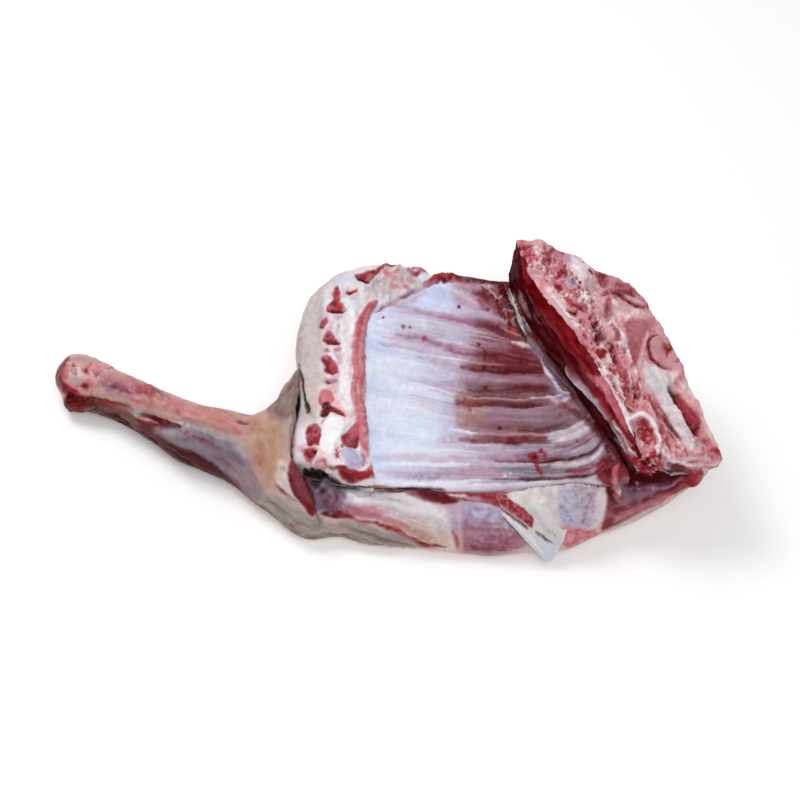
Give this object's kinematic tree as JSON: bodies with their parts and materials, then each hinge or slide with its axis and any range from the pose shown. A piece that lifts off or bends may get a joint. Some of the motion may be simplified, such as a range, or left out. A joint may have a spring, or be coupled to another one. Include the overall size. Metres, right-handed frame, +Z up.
{
  "type": "raw lamb shoulder",
  "caption": "Raw half forequarter of lamb lying ribs up: shoulder with its shank, ribs under a pale lining, split breastbone and backbone, and a flap of blade cartilage.",
  "frame": {"origin": "on the surface that the cut lies on, under the middle of its bounding box", "axes": "+Z up, +X from the foreshank to the backbone, +Y from the cut across the ribs to the neck"},
  "size_m": [0.475, 0.235, 0.1185],
  "materials": {
    "lean_meat": "moist lean meat with patches of thin pale fat",
    "rib_lining": "glossy wet membrane, bluish white to mauve",
    "breast_fat": "satin white fat with dark red spots of bone",
    "dark_muscle": "wet dark red muscle",
    "cut_bone": "sawn spongy bone, red and white, moist",
    "knuckle": "satin pink gristle and bone",
    "cartilage": "smooth glossy white gristle"
  },
  "bodies": {
    "root": {"shoulder": "lean_meat", "rib_wall": "rib_lining", "breastbone": "breast_fat", "neck_muscle": "dark_muscle", "backbone": "cut_bone", "shank_bone": "knuckle", "blade_flap": "cartilage"}
  },
  "joints": []
}
